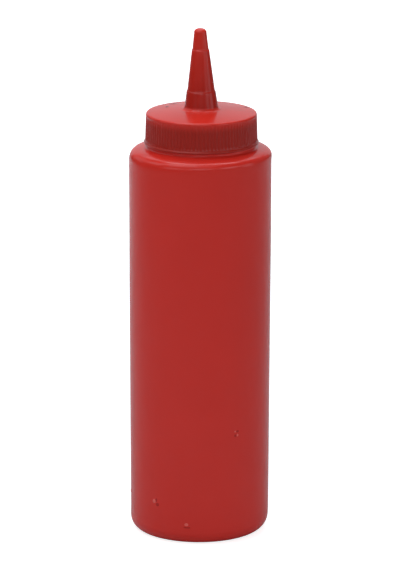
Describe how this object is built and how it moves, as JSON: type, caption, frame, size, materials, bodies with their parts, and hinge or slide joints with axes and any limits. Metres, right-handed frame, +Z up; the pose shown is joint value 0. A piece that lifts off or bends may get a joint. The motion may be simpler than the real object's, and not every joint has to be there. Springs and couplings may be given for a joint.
{
  "type": "squeeze bottle",
  "caption": "Plain round plastic squeeze bottle for sauce, with a ribbed screw cap and a tapered nozzle whose rounded tip is still closed.",
  "frame": {"origin": "centre of the foot ring, on the surface that the bottle stands on", "axes": "+Z up along the bottle's axis to the nozzle's tip; the bottle is round, so +X and +Y are free"},
  "size_m": [0.057, 0.057, 0.2065],
  "materials": {
    "body_plastic": "soft gloss",
    "cap_plastic": "soft gloss"
  },
  "bodies": {
    "root": {"bottle": "body_plastic", "cap": "cap_plastic"}
  },
  "joints": []
}
